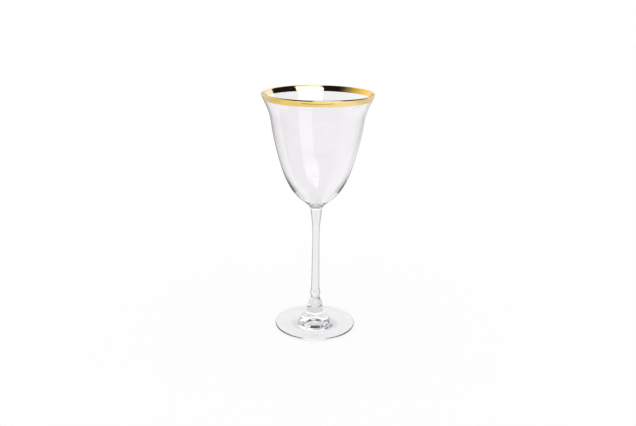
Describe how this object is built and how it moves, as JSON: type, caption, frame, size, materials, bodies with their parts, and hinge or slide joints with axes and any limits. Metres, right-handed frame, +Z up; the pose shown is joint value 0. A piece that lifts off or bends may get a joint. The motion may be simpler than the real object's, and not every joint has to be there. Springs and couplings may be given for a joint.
{
  "type": "white wine glass",
  "caption": "Clear stemmed wine glass with a bell-shaped bowl flared at the lip, a slender stem, a thin round foot and a gold band round the rim.",
  "frame": {"origin": "centre of the foot, on the plane the glass stands on", "axes": "+Z up along the axis of the stem and bowl; the glass is round, so +X and +Y are any two level directions at right angles"},
  "size_m": [0.0906, 0.0906, 0.2001],
  "materials": {
    "clear_glass": "clear, fire-polished, smooth",
    "rim_gold": "fired bright gold film, mirror-like"
  },
  "bodies": {
    "root": {"bowl": "clear_glass", "stem": "clear_glass", "foot": "clear_glass", "gold_rim_band": "rim_gold"}
  },
  "joints": []
}
